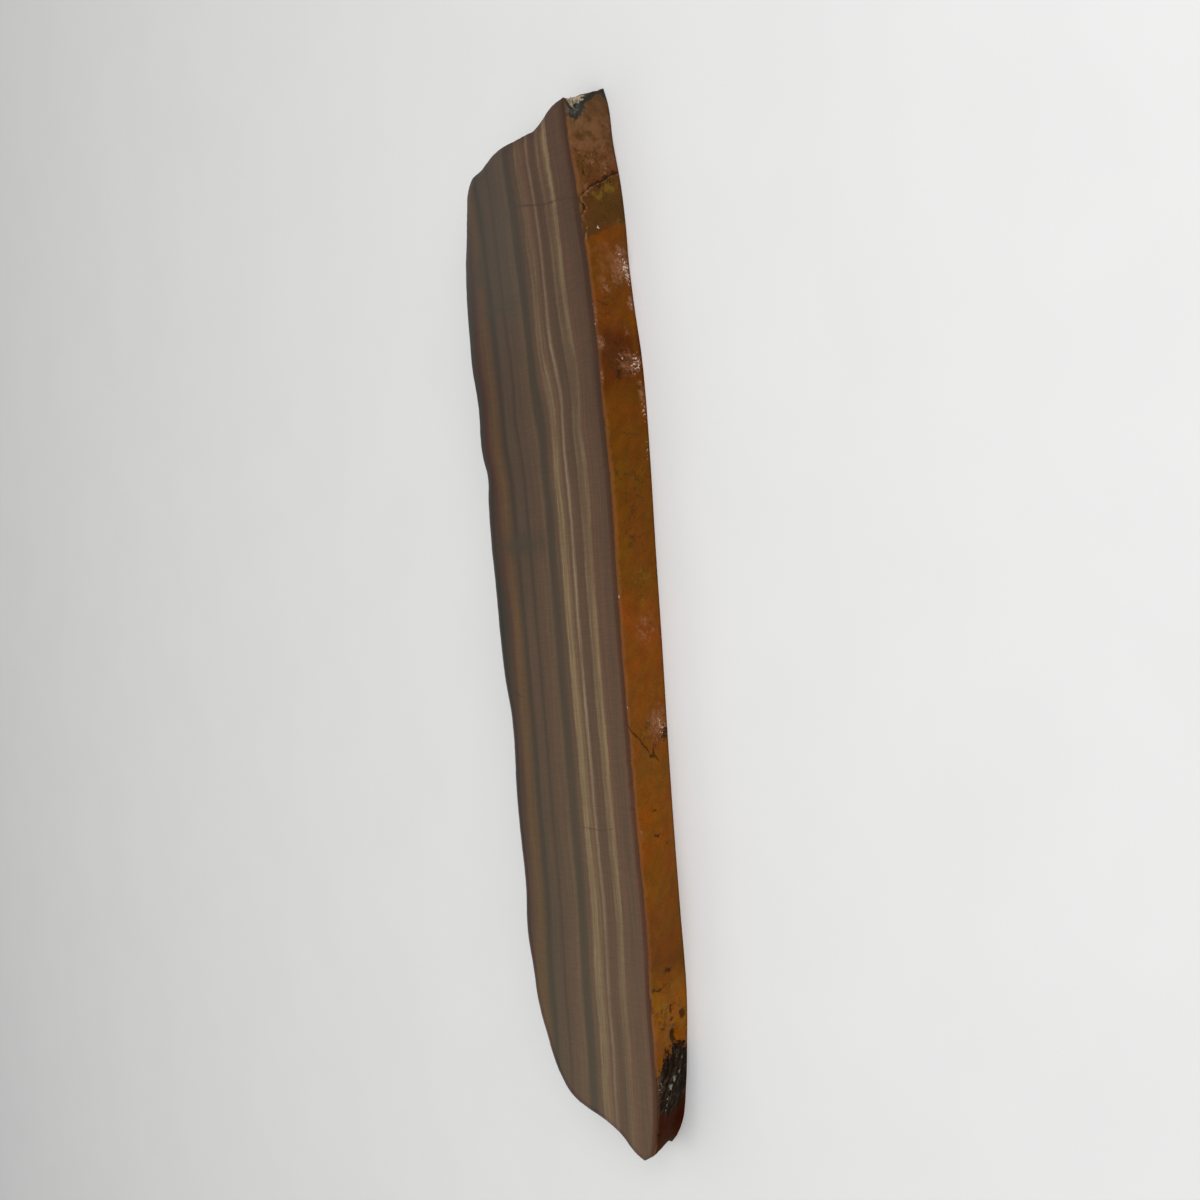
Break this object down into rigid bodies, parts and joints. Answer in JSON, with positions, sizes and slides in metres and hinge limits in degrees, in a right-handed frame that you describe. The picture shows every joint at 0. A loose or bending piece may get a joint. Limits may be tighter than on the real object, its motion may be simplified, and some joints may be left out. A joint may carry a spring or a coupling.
{
  "type": "rough tigers eye slab",
  "caption": "Long flat slab of banded tiger's eye with a polished face, a sawn back, a waxy orange rough rim and broken ends; lies flat as a display stone or lapidary rough.",
  "frame": {"origin": "middle of the slab's box, on the plane of the sawn back", "axes": "+Z out of the polished face, +Y along the length towards the chipped corner, +X towards the orange rim"},
  "size_m": [0.0638, 0.2962, 0.0145],
  "materials": {
    "tigers_eye": "banded brown, gold and blue-grey stone, polished on the face, sawn matt on the back and waxy orange-brown on the rough rim"
  },
  "bodies": {
    "root": {"slab": "tigers_eye"}
  },
  "joints": []
}
